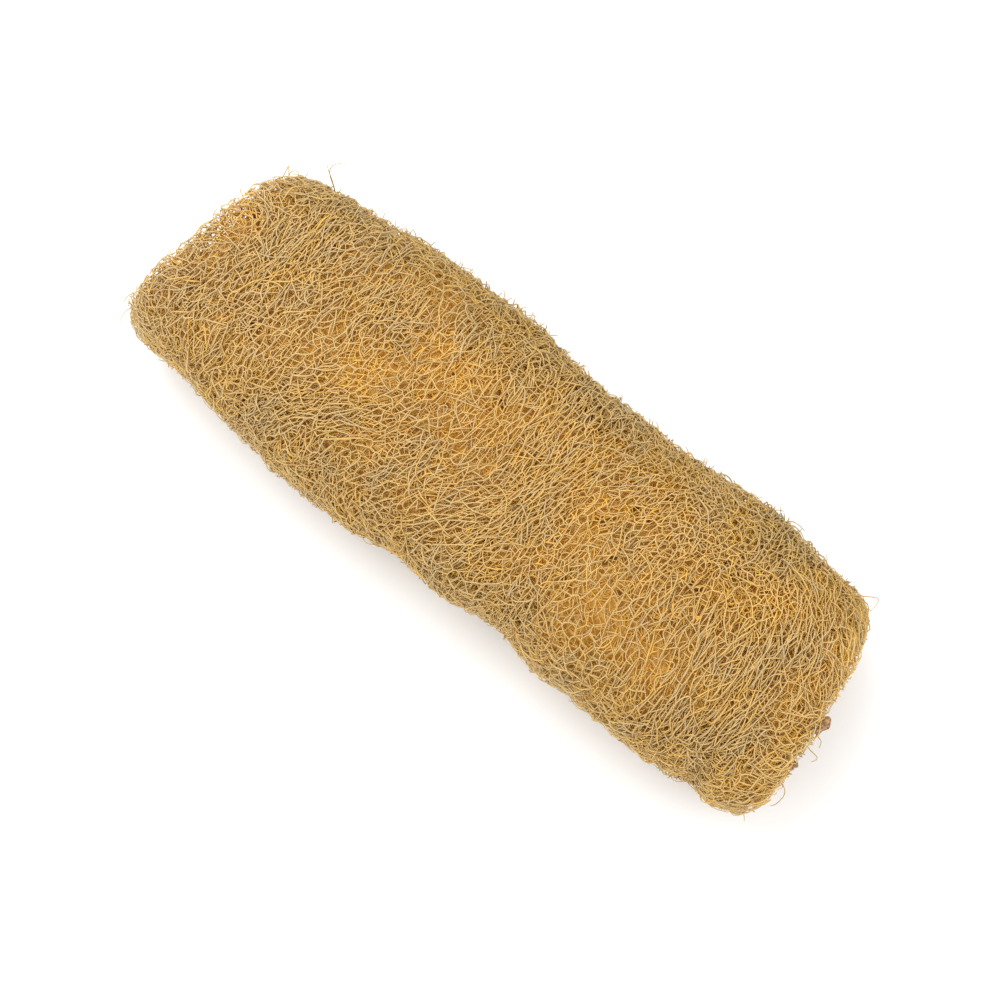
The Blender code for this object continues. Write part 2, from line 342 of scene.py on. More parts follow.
ANGLES = np.linspace(-0.5 * math.pi, 1.5 * math.pi, 361)
OUTLINE = np.stack([HALF_WIDTH * squared(np.cos(ANGLES)), HALF_HEIGHT * squared(np.sin(ANGLES))], axis=1)
RUNS = np.concatenate([[0], np.cumsum(np.linalg.norm(np.diff(OUTLINE, axis=0), axis=1))])
GIRTH = float(RUNS[-1])


def close_in(inside, end_share):
    """How far in from the cut a flat run reaches, and how wide the section is there."""
    turn = np.clip(inside / END_ROUND, 0, 1) * 0.5 * math.pi
    close = end_share + (1 - end_share) * np.sin(turn)
    rounded = END_ROUND * (1 - np.cos(turn))
    return np.where((inside > 0) & (inside < END_ROUND), rounded, inside), close


def smooth_place(x, y):
    """The flat skin's places wrapped round the sponge, without its lumps."""
    inside, close = close_in(np.minimum(x, LENGTH - x), np.where(x < LENGTH / 2, *END_SHARES))
    s = np.where(x < LENGTH / 2, inside, LENGTH - inside) / LENGTH
    run = np.mod(y, GIRTH)
    across = np.interp(run, RUNS, OUTLINE[:, 0])
    up = np.interp(run, RUNS, OUTLINE[:, 1])
    across = across * smooth_knots(WIDTH_SHARES, s - 0.5) * close
    up = up * close * np.where(up > 0, smooth_knots(HEIGHT_SHARES, s - 0.5), 1.0)
    return np.stack([slanted(s * LENGTH, across), across, up], axis=-1)


def slanted(run, across):
    """Place along the axis of a run from the left cut, between the two slanted cuts."""
    side = across / HALF_WIDTH
    left = -LEFT_REACH + LEFT_SLANT * (side + 1) / 2
    right = RIGHT_REACH - RIGHT_SLANT * (side + 1) / 2 + RIGHT_CROWN * (1 - side * side)
    return left + (right - left) * run / LENGTH


def make_field(rng, size):
    """Smooth noise from -1 to 1 over the flat skin, which joins up round the sponge."""
    margin = 2 * size
    rows = math.ceil((LENGTH + 2 * margin) / size) + 2
    columns = max(4, round(GIRTH / size))
    values = rng.uniform(-1, 1, (rows, columns))

    def field(x, y):
        across = np.clip((x + margin) / size, 0, rows - 1.001)
        around = np.mod(y, GIRTH) / GIRTH * columns
        i, j = np.floor(across).astype(int), np.floor(around).astype(int) % columns
        s, t = across - np.floor(across), around - np.floor(around)
        s, t = s * s * (3 - 2 * s), t * t * (3 - 2 * t)
        after = (j + 1) % columns
        near = values[i, j] * (1 - t) + values[i, after] * t
        far = values[i + 1, j] * (1 - t) + values[i + 1, after] * t
        return near * (1 - s) + far * s

    return field


def make_lumps():
    """The solid's own lumps, read on a grid over the flat skin."""
    xs = np.linspace(-LUMP_MARGIN, LENGTH + LUMP_MARGIN, LUMP_ROWS)
    ys = np.linspace(0, GIRTH, LUMP_COLUMNS)
    grid = smooth_place(*np.meshgrid(xs, ys, indexing="ij"))
    flat = [noise.noise(Vector(place) / LUMP_SIZE) for place in grid.reshape(-1, 3)]
    heights = -LUMP_HEIGHT * np.array(flat).reshape(grid.shape[:2])

    def lumps(x, y):
        u = np.clip((x - xs[0]) / (xs[1] - xs[0]), 0, len(xs) - 1.001)
        v = np.clip(np.mod(y, GIRTH) / (ys[1] - ys[0]), 0, len(ys) - 1.001)
        i, j = np.floor(u).astype(int), np.floor(v).astype(int)
        s, t = u - i, v - j
        near = heights[i, j] * (1 - t) + heights[i, j + 1] * t
        far = heights[i + 1, j] * (1 - t) + heights[i + 1, j + 1] * t
        return near * (1 - s) + far * s

    return lumps


lumps = make_lumps()


def fold(x, y):
    """Height of the fold by the lower right corner, at flat points."""
    height = np.zeros(np.shape(x))
    for middle_x, middle_y, high, reach_x, reach_y in FOLDS:
        far = ((x - middle_x) / reach_x) ** 2 + ((np.mod(y, GIRTH) - middle_y) / reach_y) ** 2
        height += high * np.exp(-far)
    return height


def on_skin(x, y, lift):
    """(places, outward directions) of flat points lifted from the skin."""
    near = 0.0004
    place = smooth_place(x, y)
    along = smooth_place(x + near, y) - smooth_place(x - near, y)
    around = smooth_place(x, y + near) - smooth_place(x, y - near)
    outward = unit(np.cross(around, along))
    return place + outward * (lift + lumps(x, y) + fold(x, y))[..., None], outward


def tone_and_side_light(x, y):
    """How much paler fibres are at a flat place: to the left and at the left cut, and in front, where the
    paleness is painted light.
    """
    fall = TONE_FALL * (0.5 - x / LENGTH) - PAINTED_SIDE_LIGHT * np.sin(2 * math.pi * y / GIRTH)
    return fall + CUT_TONE * np.exp(-np.maximum(x, 0) / CUT_TONE_REACH)


def on_left_cut(y, z, depth):
    """Points of the cross-section, given as (y, z), at a depth behind the left cut."""
    place = np.stack([slanted(depth, y), y, z], axis=-1)
    return place, np.broadcast_to([-1.0, 0.0, 0.0], place.shape)


def on_right_cut(y, z, depth):
    place = np.stack([slanted(LENGTH - depth, y), y, z], axis=-1)
    return place, np.broadcast_to([1.0, 0.0, 0.0], place.shape)


def pressed(places):
    """Set over the floor: fibres that would reach under it lie flattened one on another."""
    lowest, soft = 0.0003, 0.0018
    z = places[..., 2] + REST_LEVEL
    squeezed = lowest + (soft - lowest) * np.exp(np.minimum(0, (z - soft) / (soft - lowest)))
    places[..., 2] = np.where(z < soft, squeezed, z)
    return places


def in_wall(y, z, depth, at_left, margin):
    """Whether points of the cross-section are in the sponge's wall, clear of its channels."""
    _, close = close_in(np.maximum(depth, 0), END_SHARES[0] if at_left else END_SHARES[1])
    s = -0.5 if at_left else 0.5
    half_width = HALF_WIDTH * smooth_knots(WIDTH_SHARES, np.array(s)) * close - margin
    upper = HALF_HEIGHT * smooth_knots(HEIGHT_SHARES, np.array(s)) * close - margin
    lower = HALF_HEIGHT * close - margin
    half_height = np.where(z > 0, upper, lower)
    within = np.abs(y / half_width) ** SECTION_POWER + np.abs(z / half_height) ** SECTION_POWER < 1
    for middle_y, middle_z, wide, high, turn in CHANNELS:
        angle = math.radians(turn)
        across = (y - middle_y) * math.cos(angle) + (z - middle_z) * math.sin(angle)
        up = (z - middle_z) * math.cos(angle) - (y - middle_y) * math.sin(angle)
        within &= (across / wide) ** 2 + (up / high) ** 2 > 1
    return within


def honeycomb(rows, columns):
    """Corners of a honeycomb as (row, column) places, its bars as pairs of corners, and the
    three bars at each corner. The last column meets the first."""
    i, j = np.meshgrid(np.arange(rows), np.arange(columns), indexing="ij")
    count = rows * columns
    odd = i % 2

    def number(row, column):
        return (row % rows) * columns + column % columns

    here = number(i, j)
    bars = np.stack(
        [
            np.stack([here, count + here], axis=-1),
            np.stack([here, count + number(i, j + 1)], axis=-1),
            np.stack([here, count + number(i - 1, j + odd)], axis=-1),
        ]
    )
    up_bars = np.stack([here, count + here, 2 * count + here], axis=-1)
    down_bars = np.stack([here, count + number(i, j - 1), 2 * count + number(i + 1, j - 1 + odd)], axis=-1)
    up_places = np.stack([i + 1 / 3, j + 0.5 + 0.5 * odd], axis=-1)
    down_places = np.stack([i + 2 / 3, j + 0.5 * odd], axis=-1)
    places = np.concatenate([up_places.reshape(-1, 2), down_places.reshape(-1, 2)])
    corner_bars = np.concatenate([up_bars.reshape(-1, 3), down_bars.reshape(-1, 3)])
    return places, bars.reshape(-1, 2), corner_bars


def between(state, from_points, to_points, around):
    """The way from some points to others, the short way round the sponge."""
    way = state[to_points] - state[from_points]
    way[:, Y] = np.mod(way[:, Y] + around / 2, around) - around / 2
    return way


def choose_strands(rng, state, corner_bars, kept, around, net):
    """At each corner, the two bars that one strand runs through, and then the third."""
    corners = len(corner_bars)
    ways = [
        unit(between(state, np.arange(corners), corners + corner_bars[:, k], around)[:, [X, Y]])
        for k in range(3)
    ]
    orders = np.array([[0, 1, 2], [0, 2, 1], [1, 2, 0]])
    scores = np.empty((corners, 3))
    for k, (a, b, _) in enumerate(orders):
        bend = np.sum(ways[a] * ways[b], axis=1)
        both = kept[corner_bars[:, a]] & kept[corner_bars[:, b]]
        level = np.abs(unit(ways[a] - ways[b])[:, 1])
        liking = net.grain * level - net.straight * bend
        scores[:, k] = liking + rng.uniform(0, 1, corners) + WHOLE_STRAND * both
    return np.take_along_axis(corner_bars, orders[np.argmax(scores, axis=1)], axis=1)


def make_net(rng, net, x_range, around, warps, open_field):
    """A net on flat ground. Its points are its corners, then the middles of its bars. It comes as
    (state of each point, the points before and after each on its strand, the corners at each
    bar's ends, the bars at each corner with a strand's two first, which bars are kept)."""
    row_step = net.spacing * math.sqrt(3) / 2 / math.sqrt(net.stretch)
    rows = math.ceil((x_range[1] - x_range[0]) / row_step)
    columns = round(around / (net.spacing * math.sqrt(net.stretch)))
    places, bars, corner_bars = honeycomb(rows, columns)
    corners = len(places)
    corner_state = np.empty((corners, 5))
    shaken = places + rng.normal(0, NET_JITTER, places.shape)
    corner_state[:, X] = x_range[0] + shaken[:, 0] * row_step
    corner_state[:, Y] = shaken[:, 1] * around / columns
    for size, (along_warp, around_warp) in warps:
        x, y = corner_state[:, X].copy(), corner_state[:, Y].copy()
        corner_state[:, X] += size * along_warp(x, y)
        corner_state[:, Y] += size * around_warp(x, y)
    corner_state[:, LIFT] = net.lift + rng.normal(0, net.spread, corners)
    corner_state[:, RADIUS] = net.radius * rng.uniform(*RADIUS_RANGE, corners)
    # Paler to the left and at the left cut, with painted light on the front side and painted shade on the
    # back
    paler = tone_and_side_light(corner_state[:, X], corner_state[:, Y])
    corner_state[:, TONE] = net.tone + paler + rng.normal(0, TONE_SPREAD, corners)

    halfway = corner_state[bars[:, 0]] + 0.5 * between(corner_state, bars[:, 0], bars[:, 1], around)
    halfway[:, :2] += rng.normal(0, BAR_BOW * net.spacing, (len(bars), 2))
    halfway[:, LIFT] += rng.normal(0, 0.5 * net.spread, len(bars))
    state = np.concatenate([corner_state, halfway])
    openness = np.clip(0.5 + OPEN_CONTRAST * open_field(halfway[:, X], halfway[:, Y]), 0, 1) ** 2
    kept = rng.uniform(0, 1, len(bars)) > DROPPED_CLOSE + (net.dropped - DROPPED_CLOSE) * openness
    # The bars that would join the last row to the first are left out. They begin the last third.
    joining = 2 * len(bars) // 3
    kept[joining : joining + columns] = False
    strands = choose_strands(rng, state, corner_bars, kept, around, net)

    before = np.concatenate([corners + strands[:, 0], bars[:, 0]])
    after = np.concatenate([corners + strands[:, 1], bars[:, 1]])
    every = np.arange(len(state))
    for _ in range(net.relax):
        pull = between(state, every, before, around) + between(state, every, after, around)
        state += RELAX_PULL * pull

    # A bar that relaxing has drawn out too long is left out
    reach = np.hypot(*between(state, bars[:, 0], bars[:, 1], around)[:, [X, Y]].T)
    kept &= reach < LONGEST_BAR * net.spacing
    return state, before, after, bars, strands, kept


def net_piece(rng, net, x_range, around, warps, open_field, place_on, is_inside):
    """A net wrapped onto the sponge: a tube for each strand, joined to others at corners."""
    state, before, after, bars, strands, kept = make_net(rng, net, x_range, around, warps, open_field)
    corners = len(strands)
    centres, outward = place_on(state[:, X], state[:, Y], state[:, LIFT])
    pressed(centres)
    third = corners + strands[:, 2]
    along = np.concatenate([centres[after] - centres[before], centres[:corners] - centres[third]])
    rings = np.concatenate([np.arange(len(state)), np.arange(corners)])
    inside = is_inside(state[:, X], state[:, Y], state[:, LIFT])

    # A bar meets the strand that runs through its corner, or ends there in a ring of its own
    halfway = corners + np.arange(len(bars))
    first, last = bars.T
    first_ring = np.where(strands[first, 2] == halfway - corners, len(state) + first, first)
    last_ring = np.where(strands[last, 2] == halfway - corners, len(state) + last, last)
    if net.curved:
        there = kept & inside[halfway]
        lead, trail = there & inside[first], there & inside[last]
        starts = np.concatenate([first_ring[lead], halfway[trail]])
        ends = np.concatenate([halfway[lead], last_ring[trail]])
    else:
        there = kept & inside[first] & inside[last]
        starts, ends = first_ring[there], last_ring[there]
    radii, tones = state[rings, RADIUS], state[rings, TONE]
    return strand_mesh(net.name, centres[rings], along, outward[rings], radii, tones, starts, ends)


def strand_mesh(name, centres, along, outward, radii, tones, starts, ends):
    """Three-sided tubes from ring to ring. starts and ends number the rings of each stretch."""
    along = unit(along)
    side = unit(np.cross(along, outward))
    up = np.cross(side, along)
    corners = np.empty((len(centres), 3, 3))
    for i in range(3):
        angle = 2 * math.pi * i / 3 + 0.5 * math.pi
        corners[:, i] = centres + (math.cos(angle) * side + math.sin(angle) * up) * radii[:, None]
    travel = centres[ends] - centres[starts]
    order = np.array([[0, 1, 2], [0, 2, 1]])

    def ring_corners(ring):
        backwards = (np.sum(along[ring] * travel, axis=1) < 0).astype(int)
        return 3 * ring[:, None] + order[backwards]

    first, last = ring_corners(starts), ring_corners(ends)
    faces = np.stack([first, last, np.roll(last, -1, axis=1), np.roll(first, -1, axis=1)], axis=-1)
    used, compact = np.unique(faces.reshape(-1), return_inverse=True)
    mesh = bpy.data.meshes.new(name)
    mesh.from_pydata(corners.reshape(-1, 3)[used], [], compact.reshape(-1, 4))
    mesh.shade_smooth()
    tone = mesh.attributes.new("tone", "FLOAT", "POINT")
    tone.data.foreach_set("value", np.repeat(tones, 3)[used].astype(np.float32))
    lay_out(mesh, len(starts))
    piece = bpy.data.objects.new(name, mesh)
    bpy.context.scene.collection.objects.link(piece)
    return piece


def lay_out(mesh, stretches):
    """A map for the fibres' colours: each stretch of a tube lies in a cell of its own."""
    cells = math.ceil(math.sqrt(stretches))
    margin = 0.12
    number = np.repeat(np.arange(stretches), 3)
    side = np.tile(np.arange(3), stretches)
    u = np.broadcast_to([0, 1, 1, 0], (len(number), 4))
    v = (side[:, None] + np.array([0, 0, 1, 1])) / 3
    u = (number[:, None] % cells + margin + (1 - 2 * margin) * u) / cells
    v = (number[:, None] // cells + margin + (1 - 2 * margin) * v) / cells
    layer = mesh.uv_layers.new(name="OFBake")
    layer.data.foreach_set("uv", np.stack([u, v], axis=-1).reshape(-1).astype(np.float32))


def trace(rng, x, y, heading, steps, bend, grain, pull, points):
    """Centre lines from the starts, on the flat skin: they bend at random and lean to the grain."""
    turn = rng.normal(0, bend)
    xs, ys = [x], [y]
    for _ in range(points - 1):
        x = x + steps * np.cos(heading)
        y = y + steps * np.sin(heading)
        xs.append(x)
        ys.append(y)
        turn = BEND_MEMORY * turn + (1 - BEND_MEMORY) * rng.normal(0, 2 * bend)
        heading = heading + turn * steps + pull * np.sin(2 * (grain(x, y) - heading))
    return np.stack(xs, axis=1), np.stack(ys, axis=1)


def bundling(x, y, bundle_field):
    """How far the mat is bundled at flat points, from about 0 to 1."""
    share = BUNDLED_MEAN + BUNDLED_SWING * bundle_field(x, y)
    for middle_x, middle_y, reach in BUNDLE_PATCHES:
        far = ((x - middle_x) ** 2 + (y - middle_y) ** 2) / reach**2
        share = share + PATCH_STRENGTH * np.exp(-far)
    return np.clip(share, 0, BUNDLED_MOST)


def make_grain(sway):
    """The heading of lines round the sponge after they sway."""
    near = 0.0005

    def grain(x, y):
        along, around = (SWAY * (field(x, y + near) - field(x, y - near)) / (2 * near) for field in sway)
        return np.arctan2(1 + around, along)

    return grain


def either_way(rng, heading):
    """Turns about half of some headings right round."""
    return heading + math.pi * rng.integers(0, 2, len(heading))


def bundle_starts(rng, lot, grain, bundle_field):
    """Where fibres start and head, a row for each bundle, and how far astray each bundle is."""
    tries = BUNDLE_TRIES * lot.bundles
    x = rng.uniform(-LOOSE_MARGIN, LENGTH + LOOSE_MARGIN, tries)
    y = rng.uniform(0, GIRTH, tries)
    bundled = bundling(x, y, bundle_field)
    best = np.sort(np.argsort(-bundled - rng.uniform(0, BUNDLE_CHANCE, tries))[: lot.bundles])
    x, y, bundled = x[best], y[best], bundled[best]
    stray = ASTRAY_OPEN - ASTRAY_LESS * bundled
    heading = either_way(rng, grain(x, y) + rng.normal(0, 1, lot.bundles) * stray)
    offsets = np.arange(BUNDLE_FIBRES) - (BUNDLE_FIBRES - 1) / 2
    offsets = offsets * rng.uniform(*BUNDLE_GAP, (lot.bundles, 1)) * (1 + stray[:, None])
    slide = rng.uniform(-BUNDLE_SLIDE, BUNDLE_SLIDE, (lot.bundles, BUNDLE_FIBRES))
    x = x[:, None] - np.sin(heading)[:, None] * offsets + np.cos(heading)[:, None] * slide
    y = y[:, None] + np.cos(heading)[:, None] * offsets + np.sin(heading)[:, None] * slide
    heading = heading[:, None] + rng.normal(0, 1, slide.shape) * (FAN_LEAST + FAN_MORE * stray[:, None])
    return x, y, heading, stray


def bundle_piece(rng, lot, grain, bundle_field):
    """Loose fibres over a net: side by side where the mat is bundled, astray elsewhere."""
    x, y, heading, stray = bundle_starts(rng, lot, grain, bundle_field)
    bend = BEND * (BEND_LEAST + BEND_MORE * np.repeat(stray, BUNDLE_FIBRES))
    count = x.size
    steps = lot.step * rng.uniform(*STEP_SHARES, count)
    starts = (x.ravel(), y.ravel(), heading.ravel())
    x, y = trace(rng, *starts, steps, bend, grain, GRAIN_PULL, FIBRE_POINTS)
    t = np.linspace(0, 1, FIBRE_POINTS)
    from_tip = np.minimum(t, 1 - t)
    phase = rng.uniform(0, 2 * math.pi, count)
    waves = phase[:, None] + 2 * math.pi * steps[:, None] * np.arange(FIBRE_POINTS) / WEAVE_LENGTH
    lift = lot.lift + rng.normal(0, lot.spread, count)[:, None] + WEAVE * np.sin(waves)
    lift -= END_DIVE * np.clip(1 - DIVE_RISE * from_tip, 0, 1)
    radii = lot.radius * rng.uniform(*LOOSE_RADIUS_SHARES, count)[:, None]
    radii = radii * np.clip(TIP_SHARE + TIP_RISE * from_tip, 0, 1)
    tones = (lot.tone + rng.normal(0, LOOSE_TONE_SPREAD, count))[:, None] * np.ones(FIBRE_POINTS)
    places, outward = on_skin(x, y, lift)
    inside = within_cuts(x, y, lift)
    return loose_piece(lot.name, pressed(places), outward, radii, tones, inside)


def loose_piece(name, places, outward, radii, tones, inside):
    """Tubes along separate fibres, all with the same number of points."""
    along = np.gradient(places, axis=1)
    number = np.arange(radii.size).reshape(radii.shape)
    there = inside[:, :-1] & inside[:, 1:]
    return strand_mesh(
        name,
        places.reshape(-1, 3),
        along.reshape(-1, 3),
        outward.reshape(-1, 3),
        radii.ravel(),
        tones.ravel(),
        number[:, :-1][there],
        number[:, 1:][there],
    )


def fuzz(rng, grain):
    """Thin curly fibres that mat the sides of the sponge and the rims of its cuts."""
    tries = FUZZ_TRIES * FUZZ_FIBRES
    x = rng.uniform(0, LENGTH, tries)
    y = rng.uniform(0, GIRTH, tries)
    across = np.abs(np.interp(y, RUNS, OUTLINE[:, 0])) / HALF_WIDTH
    side = np.clip(across - FUZZ_FROM, 0, FUZZ_GROWS) / FUZZ_GROWS
    rim = np.exp(-np.minimum(x, LENGTH - x) / FUZZ_RIM)
    best = np.argsort(-side - FUZZ_RIM_SHARE * rim - rng.uniform(0, 1.0, tries))
    best = np.sort(best[:FUZZ_FIBRES])
    x, y = x[best], y[best]
    heading = either_way(rng, grain(x, y) + rng.normal(0, FUZZ_STRAY, FUZZ_FIBRES))
    steps = FUZZ_STEP * rng.uniform(*FUZZ_STEP_SHARES, FUZZ_FIBRES)
    bend = FUZZ_BEND * rng.uniform(*FUZZ_BEND_SHARES, FUZZ_FIBRES)
    lift = rng.uniform(*FUZZ_LIFT, FUZZ_FIBRES)[:, None] * np.ones(FUZZ_POINTS)
    x, y = trace(rng, x, y, heading, steps, bend, grain, FUZZ_PULL, FUZZ_POINTS)
    t = np.linspace(0, 1, FUZZ_POINTS)
    lift += rng.uniform(0, FUZZ_ARCH, FUZZ_FIBRES)[:, None] * np.sin(math.pi * t)
    thinned = 1 - FUZZ_THINNED * np.abs(2 * t - 1)
    radii = FUZZ_RADIUS * rng.uniform(*FUZZ_RADIUS_SHARES, (FUZZ_FIBRES, 1)) * thinned
    tones = FUZZ_TONE + tone_and_side_light(x, y) + rng.normal(0, TONE_SPREAD, (FUZZ_FIBRES, 1))
    places, outward = on_skin(x, y, lift)
    return loose_piece("fuzz", pressed(places), outward, radii, tones, within_cuts(x, y, lift))


def hairs(rng):
    """The hairs that the picture shows astray, as curves through three points each."""
    roots, middles, tips = (np.array(point)[:, None] for point in zip(*HAIRS))
    t = np.linspace(0, 1, HAIR_POINTS)[:, None]
    wave = rng.normal(0, HAIR_WAVE, (len(HAIRS), 1, 3)) * np.sin(2 * math.pi * t)
    places = roots * (1 - t) * (1 - 2 * t) + middles * 4 * t * (1 - t) + tips * t * (2 * t - 1) + wave
    places[..., 2] -= REST_LEVEL
    outward = np.broadcast_to([0.0, 0.0, 1.0], places.shape)
    radii = np.full((len(HAIRS), 1), HAIR_RADIUS) * (1 - HAIR_THINNED * t[:, 0])
    tones = rng.uniform(*HAIR_TONES, (len(HAIRS), 1)) * np.ones(HAIR_POINTS)
    return loose_piece("hairs", pressed(places), outward, radii, tones, np.ones(radii.shape, bool))


def strays(rng, grain, lot):
    """Single hairs that stand out of the mat here and there."""
    x = rng.uniform(STRAY_MARGIN, LENGTH - STRAY_MARGIN, lot.count)
    y = GIRTH * rng.uniform(*lot.around, lot.count)
    heading = rng.uniform(0, 2 * math.pi, lot.count)
    steps = rng.uniform(*lot.length, lot.count) / (lot.points - 1)
    x, y = trace(rng, x, y, heading, steps, np.full(lot.count, lot.bend), grain, 0.0, lot.points)
    t = np.linspace(0, 1, lot.points)
    rise = rng.uniform(*lot.rise, (lot.count, 1))
    lift = -STRAY_ROOT + (rise + STRAY_ROOT) * np.sin(0.5 * math.pi * t) ** STRAY_CURVE
    places, outward = on_skin(x, y, lift)
    places[..., 1] = np.clip(places[..., 1], -STRAY_SIDE, STRAY_SIDE)
    radii = rng.uniform(*STRAY_RADII, (lot.count, 1)) * (1 - STRAY_THINNED * t**3)
    tones = rng.uniform(*STRAY_TONES, (lot.count, 1)) * np.ones(lot.points)
    return loose_piece(lot.name, pressed(places), outward, radii, tones, np.ones(radii.shape, bool))


def rind_flake(index, flake, material):
    """A curled brown shred of rind that is left on the cut."""
    x, y, z, length, width, lean = flake
    rows, columns = 9, 5
    taper, wobble, curl_across, curl_along = 1.6, 0.25, 0.30, 0.10
    shape = bmesh.new()
    grid = []
    for i in range(rows):
        line = []
        for j in range(columns):
            u, v = i / (rows - 1) - 0.5, j / (columns - 1) - 0.5
            narrow = width * (1 - taper * u * u) * (1 + wobble * math.sin(9 * u + 4 * index))
            curl = curl_across * width * math.cos(5 * v) + curl_along * length * math.sin(5 * u)
            along = Vector((math.cos(lean), math.sin(lean), 0.25)) * (u * length)
            across = Vector((-math.sin(lean), math.cos(lean), 0.5)) * (v * narrow)
            line.append(shape.verts.new(Vector((x, y, z + curl)) + along + across))
        grid.append(line)
    for near, far in zip(grid, grid[1:]):
        for j in range(columns - 1):
            shape.faces.new([near[j], far[j], far[j + 1], near[j + 1]])
    bmesh.ops.recalc_face_normals(shape, faces=shape.faces)
    bmesh.ops.solidify(shape, geom=shape.faces[:], thickness=FLAKE_THICKNESS)
    set_face_order(shape)
    return new_piece(f"rind_{index}", shape, material)


def set_face_order(shape):
    """Sorts faces by their vertices, since solidifying leaves them in another order each time."""
    shape.verts.index_update()
    count = len(shape.verts)

    def rank(face):
        numbers = [vertex.index for vertex in face.verts]
        return min(numbers) * count + max(numbers)

    shape.faces.sort(key=rank)


def within_cuts(x, y, lift):
    """Whether flat points are between the cuts, which are ragged by their own small noise."""
    fast, slow, deep = RAGGED_WAVES
    ragged = RAGGED * np.sin(y * fast) * np.sin(y * slow + lift * deep)
    return (x > ragged) & (x < LENGTH + ragged)


def cut_net(rng, layer, at_left, depth, warps, open_field):
    """A net across the sponge just behind a cut, between the skin and the channels."""
    net = CUT_NET._replace(
        name=f"cut_{'left' if at_left else 'right'}_{layer}",
        lift=depth,
        tone=CUT_NET.tone - CUT_DEPTH_BOUNCE_LIGHT * depth,
        curved=layer < CUT_CURVED,
    )
    place_on = on_left_cut if at_left else on_right_cut

    # The flat net is twice as high as the section, so that its joined edges lie clear of it
    def shifted(y, z, depth):
        return place_on(y, z - 2 * HALF_HEIGHT, depth)

    def is_inside(y, z, depth):
        return in_wall(y, z - 2 * HALF_HEIGHT, depth, at_left, CUT_MARGIN)

    return net_piece(rng, net, CUT_SPAN, 4 * HALF_HEIGHT, warps, open_field, shifted, is_inside)


def stubs(rng, at_left):
    """Short fibre ends that stand out of a cut, more or less along the sponge."""
    points = len(STUB_TAPER)
    y = rng.uniform(-HALF_WIDTH, HALF_WIDTH, STUBS)
    z = rng.uniform(-HALF_HEIGHT, HALF_HEIGHT, STUBS)
    t = np.linspace(0, 1, points)
    reach = rng.uniform(*STUB_REACH, STUBS)
    run = rng.uniform(*STUB_RUN, STUBS)
    depth = run[:, None] * (1 - t) - reach[:, None]
    lean = rng.normal(0, STUB_LEAN, (STUBS, 2))
    curl = rng.normal(0, STUB_CURL, (STUBS, 2))
    sway = run[:, None, None] * (lean[:, None] * t[:, None] + curl[:, None] * (t * t)[:, None])
    ys, zs = y[:, None] + sway[..., 0], z[:, None] + sway[..., 1]
    start = in_wall(ys[:, 0], zs[:, 0], depth[:, 0], at_left, STUB_MARGIN)
    finish = in_wall(ys[:, -1], zs[:, -1], depth[:, -1], at_left, 0.0)
    inside = np.repeat((start & finish)[:, None], points, axis=1)
    places, _ = (on_left_cut if at_left else on_right_cut)(ys, zs, depth)
    outward = np.broadcast_to([0.0, 0.3, 1.0], places.shape)
    radii = rng.uniform(*STUB_RADII, (STUBS, 1)) * np.array(STUB_TAPER)
    tones = rng.normal(STUB_TONE, STUB_TONE_SPREAD, (STUBS, 1)) * np.ones(points)
    name = "stubs_left" if at_left else "stubs_right"
    return loose_piece(name, pressed(places), outward, radii, tones, inside)


def channel_net(rng, index, channel, warps, open_field):
    """The net that lines a seed channel."""
    middle_y, middle_z, wide, high, turn = channel
    angle = math.radians(turn)
    around = 2 * math.pi * math.sqrt((wide**2 + high**2) / 2)

    def on_wall(x, y, lift):
        theta = 2 * math.pi * y / around
        across = (wide - lift) * np.cos(theta)
        up = (high - lift) * np.sin(theta)
        place_y = middle_y + across * math.cos(angle) - up * math.sin(angle)
        place_z = middle_z + across * math.sin(angle) + up * math.cos(angle)
        outward = np.stack([np.zeros_like(y), middle_y - place_y, middle_z - place_z], axis=-1)
        return np.stack([slanted(x, place_y), place_y, place_z], axis=-1), outward

    def is_inside(x, y, lift):
        return (x > CHANNEL_MARGIN) & (x < LENGTH - CHANNEL_MARGIN)

    net = CHANNEL_NET._replace(name=f"channel_{index}")
    span = (-CHANNEL_SPARE, LENGTH + CHANNEL_SPARE)
    return net_piece(rng, net, span, around, warps, open_field, on_wall, is_inside)


def under_mat(material):
    """The inner mat that closes the view between the fibres, with the channels through it."""
    rows = np.linspace(UNDER_RECESS, LENGTH - UNDER_RECESS, UNDER_ROWS)
    columns = np.linspace(0, GIRTH, UNDER_COLUMNS, endpoint=False)
    x, y = np.meshgrid(rows, columns, indexing="ij")
    places, _ = on_skin(x, y, np.full(x.shape, -UNDER_DEPTH))
    places[..., 2] += REST_LEVEL
    shape = bmesh.new()
    rings = [[shape.verts.new(place) for place in ring] for ring in places]
    for low, high in zip(rings, rings[1:]):
        for i in range(UNDER_COLUMNS):
            after = (i + 1) % UNDER_COLUMNS
            shape.faces.new([low[i], high[i], high[after], low[after]])
    shape.faces.new(rings[0])
    shape.faces.new(reversed(rings[-1]))
    bmesh.ops.recalc_face_normals(shape, faces=shape.faces)
    piece = new_piece("under_mat", shape, material)
    for channel in CHANNELS:
        cut_channel(piece, channel)
    return piece


def new_piece(name, shape, material):
    mesh = bpy.data.meshes.new(name)
    shape.to_mesh(mesh)
    shape.free()
    mesh.materials.append(material)
    piece = bpy.data.objects.new(name, mesh)
    bpy.context.scene.collection.objects.link(piece)
    return piece


